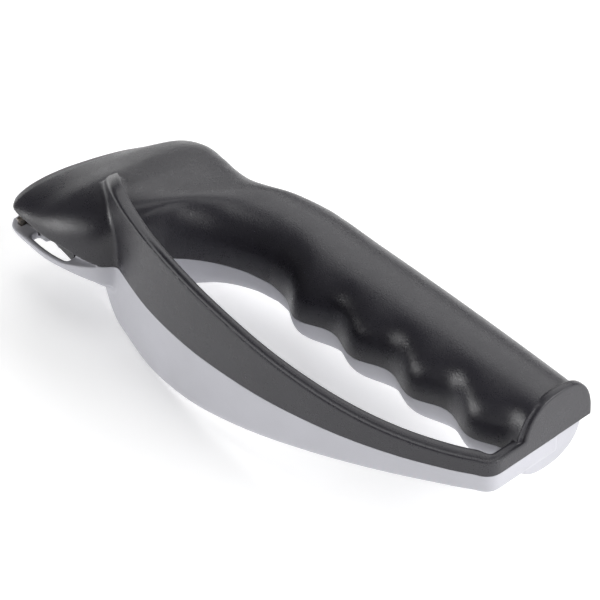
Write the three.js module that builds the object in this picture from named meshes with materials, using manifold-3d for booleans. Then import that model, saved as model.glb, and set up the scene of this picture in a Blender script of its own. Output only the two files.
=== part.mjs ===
// A hand-held pull-through knife sharpener, lying on its side: a wide flat head with an edge slot,
// a grip with finger hollows, and a guard that stands between the fingers and the blade.
// Two moulded shells meet at a flat parting plane and are screwed together from the light side.
// Two crossed carbide plates sit in a small carrier at the nose and form the V that trims the edge.
//
// Millimetres. While it is built, X runs from the nose (-X) to the butt (+X), the guard is at -Y,
// and Z = 0 is the parting plane, with the dark shell above and the light shell below.
// The last lines move the origin to the bottom centre of the whole object.

import * as THREE from "three";
import { mergeVertices } from "three/addons/utils/BufferGeometryUtils.js";
import Module from "manifold-3d";

const wasm = await Module();
wasm.setup();

// Overall places along the grip
const NOSE_X = -74.8;
const BUTT_X = 76.3;

// Shells
const PARTING_GAP = 0.12;
const WALL = 2.4;
const SLOT_WALL = 11.4;
const HOLLOW_FRONT_X = -61;
const HOLLOW_PLAIN_X = -28;
const GRIP_NEAR_Y = -4.2;
const GRIP_NEAR_SLOPE = 0.02;
const GRIP_TOP = 13.0;
const GRIP_BOTTOM = 11.0;
const HEAD_TOP = 16.8;
const HEAD_BOTTOM = 13.6;
const NOSE_TOP = 5.6;
const NOSE_BOTTOM = 5.4;
const TOP_POWER = 2.4;
const BOTTOM_POWER = 2.2;
const FAR_POWER = 5.0;
const NOSE_TOP_POWER = 2.9;
const NOSE_BOTTOM_POWER = 5.0;
const HEAD_TILT = 0.36;
const TILT_CENTRE = 0.2;
const NOSE_BOW = 2.4;

// Finger hollows
const FINGER_PITCH = 19.3;
const FINGER_DEPTH = 2.8;
const FIRST_RIDGE_X = 4.5;
const FINGER_REACH = 0.34;

// Edge slot, rim and chip window, measured back from the nose
const SLOT_HEIGHT = 5.4;
const SLOT_BACK_Y = -27.6;
const SLOT_LENGTH = 22.3;
const SLOT_RAMP_LENGTH = 9.7;
const SLOT_RAMP_X = NOSE_X + SLOT_LENGTH;
const SLOT_END_X = SLOT_RAMP_X + SLOT_RAMP_LENGTH;
const RIM_WIDTH = 1.8;
const RIM_DEPTH = 2.5;
const WINDOW_FRONT_X = NOSE_X + 8.3;
const RELIEF_TAIL = 1.4;
const RELIEF_END_X = SLOT_END_X + RELIEF_TAIL;
const RELIEF_SLOPE = 1.28;
const RELIEF_SETBACK = 5.4;
const WINDOW_SETBACK = 5;
const WINDOW_STEP_X = WINDOW_FRONT_X + 2.6;
const WINDOW_STEP = 1.6;
const ROOT_DEPTH = 2;

// Wall that hangs from the dark shell behind the tail of the window
const DROP_WALL = 1.6;
const DROP_START = 8.4;
const DROP_START_DEPTH = 2.9;
const DROP_END = 1.2;
const DROP_END_DEPTH = 4.8;
const DROP_GAP = 0.4;

// Guard
const GUARD_THICKNESS = 3.5;
const RAIL_THICKNESS = 4.4;
const GUARD_CREST_X = -32;
const GUARD_CREST = 21.5;
const RAIL_HEIGHT = 4.6;
const RAIL_DEPTH = 5.7;
const GUARD_FALL_LENGTH = 106;
const GUARD_NOSE_X = -54;
const GUARD_NOSE_LENGTH = 13;
const UPPER_NOSE_DROP = 6.2;
const LOWER_NOSE_DROP = 8;

// Butt plate
const BUTT_RETURN = 3.3;
const BUTT_PLATE = 2.2;
const BUTT_STEP = 0.7;
const BUTT_CORNER = 3.6;
const BUTT_SIDE_STEP = 1.2;
const BUTT_CENTRE_Y = 11.1;
const BUTT_HALF_WIDTH = 11.4;

// Carbide plates and their carrier
const PLATE_LENGTH = 9;
const PLATE_WIDTH = 3;
const PLATE_THICKNESS = 1.2;
const PLATE_TILT = THREE.MathUtils.degToRad(20);
const PLATE_SETBACK = 2.6;
const PLATE_FIT = 0.3;
const PLATE_GRIP = 0.12;
const NOTCH_REACH = 2.4;
const NOTCH_Y = SLOT_BACK_Y - 0.3;
const CARRIER_DEPTH = 9.5;
const CARRIER_WALL = 1.3;
const CARRIER_TAIL = 3.4;
const CARRIER_HEIGHT = 7.4;
const CARRIER_FIT = 0.3;
const CARRIER_FLOOR = 0.6;
const CARRIER_PROUD = 0.15;

// Screws
const SCREW_SHANK_R = 1.35;
const SCREW_HEAD_R = 2.7;
const SCREW_HEAD_HEIGHT = 1.9;
const SCREW_LENGTH = 14;
const SCREW_SEAT_Z = -4.6;
const SCREW_FIT = 0.3;
const THREAD_FIT = 0.2;
const BOSS_WALL = 1.2;
const BOSS_R = SCREW_HEAD_R + BOSS_WALL;
const BUTT_SCREW_INSET = 11.6;
const SHELL_SCREWS = [
  [-36, 4],
  [-8, 10.5],
  [30, 10.6],
  [BUTT_X - BUTT_SCREW_INSET, 10],
];
const CARRIER_SCREW_LENGTH = 6;
const CARRIER_SCREW_SHANK_R = 0.9;
const CARRIER_SCREW_HEAD_R = 1.7;
const CARRIER_SCREW_HEAD_HEIGHT = 1.2;

// Reach of a cutting shape that has to pass right through the object
const THROUGH = 60;

// Looks
const CHARCOAL = { color: 0x4b4a50, roughness: 0.42, metalness: 0 };
const LIGHT_GREY = { color: 0xbdbdc6, roughness: 0.45, metalness: 0 };
const BLACK = { color: 0x1b1b1e, roughness: 0.5, metalness: 0 };
const CARBIDE = { color: 0x9a948a, roughness: 0.35, metalness: 1 };
const STEEL = { color: 0xa9abb0, roughness: 0.3, metalness: 1 };

// ---- solids from three.js geometry ----

function toSolid(geometry) {
  const bare = geometry.clone();
  bare.deleteAttribute("normal");
  bare.deleteAttribute("uv");
  const merged = mergeVertices(bare, 1e-4);
  return new wasm.Manifold(
    new wasm.Mesh({
      numProp: 3,
      vertProperties: new Float32Array(merged.attributes.position.array),
      triVerts: new Uint32Array(merged.index.array),
    }),
  );
}

function toMesh(name, solid, look) {
  const { vertProperties, triVerts } = solid.getMesh();
  const geometry = new THREE.BufferGeometry();
  geometry.setAttribute("position", new THREE.BufferAttribute(vertProperties, 3));
  geometry.setIndex(new THREE.BufferAttribute(triVerts, 1));
  geometry.computeVertexNormals();
  const mesh = new THREE.Mesh(geometry, new THREE.MeshStandardMaterial(look));
  mesh.name = name;
  return mesh;
}

function shapeOf(points) {
  return new THREE.Shape(points.map(([a, b]) => new THREE.Vector2(a, b)));
}

// An outline in X and Y, extruded from z0 to z1.
function planPrism(points, z0, z1) {
  const geometry = new THREE.ExtrudeGeometry(shapeOf(points), { depth: z1 - z0, bevelEnabled: false });
  return toSolid(geometry.translate(0, 0, z0));
}

// An outline in X and Z, extruded from y0 to y1.
function sidePrism(points, y0, y1) {
  const geometry = new THREE.ExtrudeGeometry(shapeOf(points), { depth: y1 - y0, bevelEnabled: false });
  return toSolid(geometry.rotateX(Math.PI / 2).translate(0, y1, 0));
}

// An outline in Y and Z, extruded from x0 to x1.
function endPrism(points, x0, x1) {
  const geometry = new THREE.ExtrudeGeometry(shapeOf(points), { depth: x1 - x0, bevelEnabled: false });
  const turn = new THREE.Matrix4().makeBasis(
    new THREE.Vector3(0, 1, 0),
    new THREE.Vector3(0, 0, 1),
    new THREE.Vector3(1, 0, 0),
  );
  return toSolid(geometry.applyMatrix4(turn).translate(x0, 0, 0));
}

function block(x0, x1, y0, y1, z0, z1) {
  const geometry = new THREE.BoxGeometry(x1 - x0, y1 - y0, z1 - z0);
  return toSolid(geometry.translate((x0 + x1) / 2, (y0 + y1) / 2, (z0 + z1) / 2));
}

function rod(radius, x, y, z0, z1, sides = 16) {
  const geometry = new THREE.CylinderGeometry(radius, radius, z1 - z0, sides);
  return toSolid(geometry.rotateX(Math.PI / 2).translate(x, y, (z0 + z1) / 2));
}

// ---- the grip and head, as one dome per side of the parting plane ----

const lerp = THREE.MathUtils.lerp;

// Sections from nose to butt: a line across the body from its guard side to its far side.
// head is the share of head height over grip height, and nose the share of nose height over both.
const SECTIONS = [
  { near: [NOSE_X, -29.4], far: [NOSE_X + 8.8, 9.2], head: 0, nose: 1 },
  { near: [NOSE_X + 2.4, -31.6], far: [NOSE_X + 12, 13.4], head: 0.15, nose: 0.82 },
  { near: [-65, -32.4], far: [-59.4, 17.2], head: 0.4, nose: 0.52 },
  { near: [-57.5, -32.6], far: [-52.8, 18.4], head: 0.75, nose: 0.2 },
  { near: [-50, -31.2], far: [-45.5, 17.4], head: 1, nose: 0.04 },
  { near: [-43, -28], far: [-39, 16.3], head: 1.04, nose: 0 },
  { near: [-38.6, -22], far: [-32.4, 16.3], head: 1, nose: 0 },
  { near: [-34, -13.6], far: [-26, 18.4], head: 0.66, nose: 0 },
  { near: [-27, -7.4], far: [-19.5, 22.1], head: 0.18, nose: 0 },
  { near: [-17.5, -2.8], far: [-12.5, 24], head: 0, nose: 0 },
  { near: [-9.6, -1.2], far: [-6, 24.1], head: 0, nose: 0 },
];

const lineOf = (key) =>
  new THREE.CatmullRomCurve3(SECTIONS.map((s) => new THREE.Vector3(...s[key], 0)), false, "centripetal");
const NEAR_LINE = lineOf("near");
const FAR_LINE = lineOf("far");
const SHARES = new THREE.CatmullRomCurve3(
  SECTIONS.map((s) => new THREE.Vector3(s.head, s.nose, 0)),
  false,
  "catmullrom",
  0.5,
);

// Guard-side outline of the grip: a straight line, and a wave on it with one hollow per finger.
const gripLine = (x) => GRIP_NEAR_Y + GRIP_NEAR_SLOPE * (x - FIRST_RIDGE_X);
const fingerWave = (x) => (-FINGER_DEPTH / 2) * Math.cos((2 * Math.PI * (x - FIRST_RIDGE_X)) / FINGER_PITCH);

const GRIP_START_X = SECTIONS.at(-1).near[0];
const HEAD_STEPS = 18;
const GRIP_STEP = 2.7;
const DOME_STEPS = 14;

// Plan ends and shares of every section, from nose to butt.
function sectionsOfBody() {
  const list = [];
  for (let i = 0; i < HEAD_STEPS; i += 1) {
    const t = i / HEAD_STEPS;
    const near = NEAR_LINE.getPoint(t);
    const far = FAR_LINE.getPoint(t);
    const share = SHARES.getPoint(t);
    list.push({ near, far, head: share.x, nose: THREE.MathUtils.clamp(share.y, 0, 1), wave: 0 });
  }
  const count = Math.ceil((BUTT_X - GRIP_START_X) / GRIP_STEP);
  for (let i = 0; i <= count; i += 1) {
    const t = i / count;
    const x = lerp(GRIP_START_X, BUTT_X, t);
    const settle = THREE.MathUtils.smoothstep(x, GRIP_START_X, FIRST_RIDGE_X);
    const nearY = lerp(SECTIONS.at(-1).near[1], gripLine(x), settle);
    const farX = lerp(SECTIONS.at(-1).far[0], BUTT_X, t);
    const farY = lerp(SECTIONS.at(-1).far[1], BUTT_CENTRE_Y + BUTT_HALF_WIDTH - BUTT_SIDE_STEP, t * t);
    list.push({
      near: new THREE.Vector3(x, nearY, 0),
      far: new THREE.Vector3(farX, farY, 0),
      head: 0,
      nose: 0,
      wave: fingerWave(x) * settle,
    });
  }
  return list;
}

// One half of the body as a closed dome on Z = 0: side is 1 above and -1 below.
// near, far and up shrink it by that much, for the hollow inside; near is a function of X.
function dome(side, { near = () => 0, far = 0, up = 0, from = -Infinity, to = Infinity } = {}) {
  const grip = side > 0 ? GRIP_TOP : GRIP_BOTTOM;
  const headRise = (side > 0 ? HEAD_TOP : HEAD_BOTTOM) - grip;
  const noseHeight = side > 0 ? NOSE_TOP : NOSE_BOTTOM;
  const rings = [];
  for (const s of sectionsOfBody()) {
    const middle = (s.near.x + s.far.x) / 2;
    if (middle < from || middle > to) continue;
    const across = new THREE.Vector3().subVectors(s.far, s.near);
    const width = across.length();
    across.normalize();
    const start = s.near.clone().addScaledVector(across, near(middle));
    const span = width - near(middle) - far;
    const height = lerp(grip + headRise * s.head, noseHeight, s.nose) - up;
    const gripPower = side > 0 ? TOP_POWER : BOTTOM_POWER;
    const nearPower = lerp(gripPower, side > 0 ? NOSE_TOP_POWER : NOSE_BOTTOM_POWER, s.nose);
    const farPower = lerp(gripPower, FAR_POWER, THREE.MathUtils.clamp(s.head + s.nose, 0, 1));
    const ring = [];
    for (let k = 0; k <= DOME_STEPS; k += 1) {
      const angle = (Math.PI * k) / DOME_STEPS;
      const c = Math.cos(angle);
      const power = c > 0 ? nearPower : farPower;
      const share = 0.5 - 0.5 * Math.sign(c) * Math.abs(c) ** (2 / power);
      const arch = k === 0 || k === DOME_STEPS ? 0 : Math.sin(angle) ** (2 / power);
      const rise = height * arch * (1 - HEAD_TILT * s.head * (share - TILT_CENTRE));
      const bow = NOSE_BOW * s.nose * (1 - (2 * share - 1) ** 2);
      const p = start.clone().addScaledVector(across, span * share);
      const wave = s.wave * (1 - THREE.MathUtils.smoothstep(share, 0, FINGER_REACH));
      ring.push([p.x - bow, p.y + wave, side * rise]);
    }
    rings.push(ring);
  }
  return loft(rings, side);
}

// Joins equal rings that each start and end on Z = 0 into one closed solid with a flat base.
function loft(rings, side) {
  const n = rings[0].length;
  const positions = rings.flat(2);
  const index = [];
  const tri = (a, b, c) => (side > 0 ? index.push(a, b, c) : index.push(a, c, b));
  for (let r = 0; r + 1 < rings.length; r += 1) {
    for (let k = 0; k < n; k += 1) {
      const a = r * n + k;
      const b = r * n + ((k + 1) % n);
      tri(a, a + n, b);
      tri(b, a + n, b + n);
    }
  }
  const last = (rings.length - 1) * n;
  for (let k = 1; k + 1 < n; k += 1) {
    tri(0, k, k + 1);
    tri(last, last + k + 1, last + k);
  }
  const geometry = new THREE.BufferGeometry();
  geometry.setAttribute("position", new THREE.Float32BufferAttribute(positions, 3));
  geometry.setIndex(index);
  return toSolid(geometry);
}

// ---- the guard ----

const UPPER_GUARD_START = [
  [GUARD_NOSE_X, -16],
  [-45, -21.8],
];
const LOWER_GUARD_START = [
  [GUARD_NOSE_X - 2, -18],
  [-46, -22.3],
];
const GUARD_POINTS = [
  [-36.8, -25.4],
  [-24, -29.1],
  [-10.5, -31.2],
  [2, -31.8],
  [18, -31],
  [32.5, -28.6],
  [45, -25.3],
  [56.5, -21],
  [67, -15.9],
  [BUTT_X - BUTT_CORNER, -12.5],
];
const GUARD_STEPS = 40;

function guardHeight(x, side) {
  const fall = (x - GUARD_CREST_X) / GUARD_FALL_LENGTH;
  const rail = side > 0 ? RAIL_HEIGHT : RAIL_DEPTH;
  if (fall > 0) return lerp(rail, GUARD_CREST, 0.5 + 0.5 * Math.cos(Math.PI * Math.min(fall, 1)));
  const nose = Math.max(0, (GUARD_NOSE_X + GUARD_NOSE_LENGTH - x) / GUARD_NOSE_LENGTH);
  return GUARD_CREST - (side > 0 ? UPPER_NOSE_DROP : LOWER_NOSE_DROP) * nose ** 1.7;
}

// Plan band of the guard: out along its blade side, round the butt corner and back inside.
function guardBand(side) {
  const points = [...(side > 0 ? UPPER_GUARD_START : LOWER_GUARD_START), ...GUARD_POINTS];
  const line = new THREE.SplineCurve(points.map(([x, y]) => new THREE.Vector2(x, y)));
  const outer = line.getPoints(GUARD_STEPS);
  const inner = outer.map((p, i) => {
    const along = line.getTangent(i / GUARD_STEPS);
    const thickness = lerp(GUARD_THICKNESS, RAIL_THICKNESS, THREE.MathUtils.smoothstep(p.x, 0, BUTT_X));
    return [p.x - along.y * thickness, p.y + along.x * thickness];
  });
  const rail = inner.filter(([x]) => x < BUTT_X - BUTT_RETURN - BUTT_CORNER / 2);
  const cornerY = outer.at(-1).y + BUTT_CORNER * 1.35;
  const corner = new THREE.QuadraticBezierCurve(
    outer.at(-1),
    new THREE.Vector2(BUTT_X, outer.at(-1).y + BUTT_CORNER * 0.4),
    new THREE.Vector2(BUTT_X, cornerY),
  ).getPoints(5);
  return [
    ...outer.slice(0, -1).map((p) => [p.x, p.y]),
    ...corner.map((p) => [p.x, p.y]),
    [BUTT_X, BUTT_CENTRE_Y],
    [BUTT_X - BUTT_RETURN, BUTT_CENTRE_Y],
    [BUTT_X - BUTT_RETURN, cornerY],
    ...rail.reverse(),
  ];
}

function guard(side) {
  const line = [[GUARD_NOSE_X - 3, 0]];
  for (let x = GUARD_NOSE_X - 3; x < BUTT_X + 2; x += 3) line.push([x, side * guardHeight(x, side)]);
  line.push([BUTT_X + 2, side * guardHeight(BUTT_X + 2, side)], [BUTT_X + 2, 0]);
  const heights = side > 0 ? line.reverse() : line;
  return planPrism(guardBand(side), Math.min(0, side * THROUGH), Math.max(0, side * THROUGH)).intersect(
    sidePrism(heights, -THROUGH, THROUGH),
  );
}

const BUTT_STEPS = 24;

// The plate that closes the butt of the dark shell and stands a step proud of the grip.
function buttPlate() {
  const height = GRIP_TOP + BUTT_STEP;
  const outline = [];
  for (let k = 0; k <= BUTT_STEPS; k += 1) {
    const angle = (Math.PI * k) / BUTT_STEPS;
    const c = Math.cos(angle);
    const y = BUTT_CENTRE_Y + BUTT_HALF_WIDTH * Math.sign(c) * Math.abs(c) ** (2 / TOP_POWER);
    outline.push([y, k === 0 || k === BUTT_STEPS ? 0 : height * Math.sin(angle) ** (2 / TOP_POWER)]);
  }
  return endPrism(outline, BUTT_X - BUTT_PLATE, BUTT_X);
}

// ---- the slot for the blade's edge ----

function slotCut() {
  const half = SLOT_HEIGHT / 2;
  const profile = [
    [NOSE_X - 10, -half],
    [SLOT_RAMP_X, -half],
    [SLOT_END_X, 0],
    [SLOT_RAMP_X, half],
    [NOSE_X - 10, half],
  ];
  return sidePrism(profile, -THROUGH, SLOT_BACK_Y);
}

const WINDOW_STEPS = 60;

// Chip window behind the rim of the light shell.
function windowCut() {
  const inner = [];
  for (let i = 0; i <= WINDOW_STEPS; i += 1) {
    const p = NEAR_LINE.getPoint(i / WINDOW_STEPS);
    if (p.x < WINDOW_FRONT_X || p.x > SLOT_RAMP_X) continue;
    inner.push([p.x, p.y + RIM_WIDTH]);
  }
  inner.push([SLOT_RAMP_X, inner.at(-1)[1]]);
  const back = [
    [SLOT_RAMP_X, SLOT_BACK_Y + WINDOW_SETBACK],
    [WINDOW_STEP_X + WINDOW_STEP, SLOT_BACK_Y + WINDOW_SETBACK],
    [WINDOW_STEP_X, SLOT_BACK_Y],
    [WINDOW_FRONT_X, SLOT_BACK_Y],
  ];
  return planPrism([...inner, ...back], -THROUGH, 0);
}

// Wall that hangs from the dark shell behind the tail of the window.
function dropWall() {
  const profile = [
    [SLOT_RAMP_X - DROP_START, SLOT_HEIGHT / 2],
    [SLOT_RAMP_X - DROP_START, -DROP_START_DEPTH],
    [SLOT_RAMP_X - DROP_END, -DROP_END_DEPTH],
    [SLOT_RAMP_X - DROP_GAP, -DROP_END_DEPTH],
    [SLOT_RAMP_X - DROP_GAP, SLOT_HEIGHT / 2],
  ];
  return sidePrism(profile, SLOT_BACK_Y, SLOT_BACK_Y + DROP_WALL);
}

// Space under the rim, deeper towards the guard, with a slope behind it that lets chips fall clear.
function reliefCut() {
  const rimBottom = -SLOT_HEIGHT / 2 - RIM_DEPTH;
  const deep = -THROUGH;
  const slopeStart = SLOT_BACK_Y + RELIEF_SETBACK;
  const slope = [
    [-THROUGH, deep],
    [slopeStart + (rimBottom - deep) / RELIEF_SLOPE, deep],
    [slopeStart, rimBottom],
    [-THROUGH, rimBottom],
  ];
  const underRim = [
    [NOSE_X - 10, deep],
    [RELIEF_END_X, deep],
    [SLOT_END_X, rimBottom - ROOT_DEPTH],
    [SLOT_RAMP_X, rimBottom],
    [NOSE_X - 10, rimBottom],
  ];
  return endPrism(slope, NOSE_X - 10, RELIEF_END_X + 1).intersect(
    sidePrism(underRim, -THROUGH, THROUGH),
  );
}

// ---- the cutter: two crossed plates in a carrier ----

const PLATE_FRONT_X = NOSE_X + PLATE_SETBACK;
const PLATE_SPACING = PLATE_THICKNESS + PLATE_FIT;

// A plate's corner nearest the blade is set so that its upper edge passes through the notch.
function plateBlank(side, grow = 0) {
  const x0 = PLATE_FRONT_X + (side > 0 ? PLATE_SPACING : 0);
  const geometry = new THREE.BoxGeometry(
    PLATE_THICKNESS + 2 * grow,
    PLATE_LENGTH + 2 * grow,
    PLATE_WIDTH + 2 * grow,
  );
  geometry.translate(x0 + PLATE_THICKNESS / 2, PLATE_LENGTH / 2 - NOTCH_REACH, (side * PLATE_WIDTH) / 2);
  geometry.rotateX(-side * PLATE_TILT);
  return toSolid(geometry.translate(0, NOTCH_Y, 0));
}

const CARRIER_BOX = {
  x0: PLATE_FRONT_X - CARRIER_WALL + PLATE_FIT,
  x1: PLATE_FRONT_X + PLATE_SPACING + PLATE_THICKNESS + CARRIER_TAIL,
  y0: SLOT_BACK_Y - CARRIER_PROUD,
  y1: SLOT_BACK_Y - CARRIER_PROUD + CARRIER_DEPTH,
  half: CARRIER_HEIGHT / 2,
};
const CARRIER_SCREW = [CARRIER_BOX.x1 - CARRIER_TAIL / 2, (CARRIER_BOX.y0 + CARRIER_BOX.y1) / 2 + 1];

function carrierBlock(grow = 0) {
  const c = CARRIER_BOX;
  return block(c.x0 - grow, c.x1 + grow, c.y0 - grow, c.y1 + grow, -c.half - grow, c.half + grow);
}

// Room for the carrier and for both plates where they reach out of it.
function cutterPocket() {
  return carrierBlock(CARRIER_FIT).add(plateBlank(1, PLATE_FIT)).add(plateBlank(-1, PLATE_FIT));
}

function carrier() {
  return carrierBlock()
    .subtract(plateBlank(1, PLATE_GRIP))
    .subtract(plateBlank(-1, PLATE_GRIP))
    .subtract(rod(CARRIER_SCREW_SHANK_R + THREAD_FIT, ...CARRIER_SCREW, -THROUGH, THROUGH, 12));
}

// ---- screws ----

// A pan-head screw driven upwards, with its seat at the origin and a pointed end.
function screw(headR, headHeight, shankR, length) {
  const profile = [
    [0, -headHeight],
    [headR * 0.62, -headHeight],
    [headR * 0.92, -headHeight * 0.72],
    [headR, -headHeight * 0.35],
    [headR, 0],
    [shankR, 0],
    [shankR, length - shankR * 1.6],
    [0, length],
  ].map(([r, z]) => new THREE.Vector2(r, z));
  return toSolid(new THREE.LatheGeometry(profile, 14).rotateX(Math.PI / 2));
}

const shellScrew = () => screw(SCREW_HEAD_R, SCREW_HEAD_HEIGHT, SCREW_SHANK_R, SCREW_LENGTH);
const carrierScrew = () =>
  screw(CARRIER_SCREW_HEAD_R, CARRIER_SCREW_HEAD_HEIGHT, CARRIER_SCREW_SHANK_R, CARRIER_SCREW_LENGTH);
const CARRIER_SCREW_SEAT_Z = -CARRIER_HEIGHT / 2 - CARRIER_FIT - CARRIER_FLOOR;

// ---- the two shells ----

// Guard-side wall of the hollow: it clears the back of the slot in the head, and is plain further on.
function nearWall(x) {
  const share = THREE.MathUtils.smoothstep(x, SLOT_END_X, HOLLOW_PLAIN_X);
  return lerp(SLOT_WALL, WALL, share);
}

function hollow(side) {
  const to = BUTT_X - BUTT_RETURN - WALL / 2;
  return dome(side, { near: nearWall, far: WALL, up: WALL, from: HOLLOW_FRONT_X, to });
}

function bosses(side) {
  const top = side * THROUGH;
  return SHELL_SCREWS.map(([x, y]) => rod(BOSS_R, x, y, Math.min(0, top), Math.max(0, top)));
}

function upperShell() {
  const skin = dome(1);
  let shell = skin.subtract(hollow(1));
  for (const boss of bosses(1)) shell = shell.add(boss.intersect(skin));
  shell = shell.add(guard(1)).add(buttPlate()).add(dropWall());
  shell = shell.subtract(slotCut());
  shell = shell.subtract(cutterPocket());
  for (const [x, y] of SHELL_SCREWS) {
    shell = shell.subtract(rod(SCREW_SHANK_R + THREAD_FIT, x, y, -1, SCREW_SEAT_Z + SCREW_LENGTH + 1));
  }
  return shell.translate([0, 0, PARTING_GAP / 2]);
}

function lowerShell() {
  const skin = dome(-1);
  let shell = skin.subtract(hollow(-1));
  for (const boss of bosses(-1)) shell = shell.add(boss.intersect(skin));
  shell = shell.subtract(slotCut()).subtract(windowCut()).subtract(reliefCut());
  shell = shell.add(guard(-1));
  shell = shell.subtract(cutterPocket());
  for (const [x, y] of SHELL_SCREWS) {
    shell = shell.subtract(rod(SCREW_SHANK_R + SCREW_FIT, x, y, -THROUGH, 1));
    shell = shell.subtract(rod(SCREW_HEAD_R + SCREW_FIT, x, y, -THROUGH, SCREW_SEAT_Z));
  }
  shell = shell.subtract(rod(CARRIER_SCREW_SHANK_R + SCREW_FIT, ...CARRIER_SCREW, -THROUGH, 1, 12));
  shell = shell.subtract(
    rod(CARRIER_SCREW_HEAD_R + SCREW_FIT, ...CARRIER_SCREW, -THROUGH, CARRIER_SCREW_SEAT_Z),
  );
  return shell.translate([0, 0, -PARTING_GAP / 2]);
}

// ---- the assembly ----

const body = new THREE.Group();
body.add(toMesh("upper_shell", upperShell(), CHARCOAL));
body.add(toMesh("lower_shell", lowerShell(), LIGHT_GREY));
body.add(toMesh("cutter_carrier", carrier(), BLACK));
body.add(toMesh("carbide_plate_upper", plateBlank(1), CARBIDE));
body.add(toMesh("carbide_plate_lower", plateBlank(-1), CARBIDE));

SHELL_SCREWS.forEach(([x, y], i) => {
  const mesh = toMesh("shell_screw_" + (i + 1), shellScrew(), STEEL);
  mesh.position.set(x, y, SCREW_SEAT_Z - SCREW_FIT);
  body.add(mesh);
});

const smallScrew = toMesh("carrier_screw", carrierScrew(), STEEL);
smallScrew.position.set(...CARRIER_SCREW, CARRIER_SCREW_SEAT_Z - SCREW_FIT);
body.add(smallScrew);

// Stand the origin at the bottom centre of the assembly.
const bounds = new THREE.Box3().setFromObject(body);
const centre = bounds.getCenter(new THREE.Vector3());
body.position.set(-centre.x, -centre.y, -bounds.min.z);

const sharpener = new THREE.Group();
sharpener.add(body);

export default sharpener;
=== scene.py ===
# Looks for a hand-held pull-through knife sharpener lying on its light side.
# The two moulded shells are made here as fine meshes from the same named sizes as the CAD model:
# their outside is a distance field on a grid of points, so that the guard flows into the head with
# real fillets, and the parting plane, bores and pockets are then cut into it exactly.
#
# Sizes are millimetres in the design frame: X from the nose to the butt, the guard at -Y, and
# Z = 0 on the parting plane. place() turns them into metres in the CAD frame.
import math

import bmesh
import bpy
import numpy as np
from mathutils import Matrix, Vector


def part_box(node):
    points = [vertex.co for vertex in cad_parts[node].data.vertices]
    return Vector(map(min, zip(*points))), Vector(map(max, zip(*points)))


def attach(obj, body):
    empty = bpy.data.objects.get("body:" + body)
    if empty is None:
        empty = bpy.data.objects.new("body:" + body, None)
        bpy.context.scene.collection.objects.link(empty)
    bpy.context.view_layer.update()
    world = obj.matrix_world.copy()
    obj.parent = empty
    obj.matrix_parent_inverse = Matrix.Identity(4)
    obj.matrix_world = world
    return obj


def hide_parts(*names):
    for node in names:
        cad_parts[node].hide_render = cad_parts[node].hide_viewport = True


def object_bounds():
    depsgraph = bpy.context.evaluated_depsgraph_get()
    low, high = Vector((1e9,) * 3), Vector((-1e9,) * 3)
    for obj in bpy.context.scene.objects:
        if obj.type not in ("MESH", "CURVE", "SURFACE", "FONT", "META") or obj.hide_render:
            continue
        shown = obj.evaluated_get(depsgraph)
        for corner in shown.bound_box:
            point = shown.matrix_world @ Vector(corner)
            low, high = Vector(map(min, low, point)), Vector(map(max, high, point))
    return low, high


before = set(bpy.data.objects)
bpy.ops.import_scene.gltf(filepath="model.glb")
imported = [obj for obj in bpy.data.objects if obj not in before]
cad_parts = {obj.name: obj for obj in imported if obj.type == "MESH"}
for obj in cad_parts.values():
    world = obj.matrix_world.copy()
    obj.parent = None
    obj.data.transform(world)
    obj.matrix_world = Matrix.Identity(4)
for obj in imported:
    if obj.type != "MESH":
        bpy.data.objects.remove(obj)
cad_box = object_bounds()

import openvdb as vdb
from mathutils import Matrix, Vector

# ---- sizes shared with the CAD model ----

NOSE_X, BUTT_X = -74.8, 76.3
PARTING_GAP = 0.12
WALL = 2.4
SLOT_WALL = 11.4
HOLLOW_FRONT_X, HOLLOW_PLAIN_X = -61.0, -28.0
GRIP_TOP, GRIP_BOTTOM = 13.0, 11.0
HEAD_TOP, HEAD_BOTTOM = 16.8, 13.6
NOSE_TOP, NOSE_BOTTOM = 5.6, 5.4
TOP_POWER, BOTTOM_POWER = 2.4, 2.2
GRIP_NEAR_Y, GRIP_NEAR_SLOPE = -4.2, 0.02
NOSE_TOP_POWER, NOSE_BOTTOM_POWER = 2.9, 5.0
FAR_POWER = 5.0
HEAD_TILT, TILT_CENTRE = 0.36, 0.2
NOSE_BOW = 2.4

FINGER_PITCH, FINGER_DEPTH, FIRST_RIDGE_X = 19.3, 2.8, 4.5
FINGER_REACH = 0.34

SLOT_HEIGHT, SLOT_BACK_Y = 5.4, -27.6
SLOT_RAMP_X = NOSE_X + 22.3
SLOT_END_X = SLOT_RAMP_X + 9.7
RIM_WIDTH, RIM_DEPTH = 1.8, 2.5
WINDOW_FRONT_X = NOSE_X + 8.3
RELIEF_END_X = SLOT_END_X + 1.4
RELIEF_SLOPE, RELIEF_SETBACK, ROOT_DEPTH = 1.28, 5.4, 2.0
WINDOW_BACK_Y = SLOT_BACK_Y + 5.0
WINDOW_STEP_X, WINDOW_STEP = WINDOW_FRONT_X + 2.6, 1.6

# The wall behind the window's tail: its thickness, the gap before it, and its outline as distance back
# from the slot's ramp and depth below the parting plane. Its top is sunk into the dark shell.
DROP_WALL, DROP_GAP, DROP_SUNK = 1.6, 0.02, 1.2
DROP_PROFILE = [(8.4, -DROP_SUNK), (8.0, 2.9), (1.2, 4.8), (0.4, 4.8), (0.4, -DROP_SUNK)]

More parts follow.
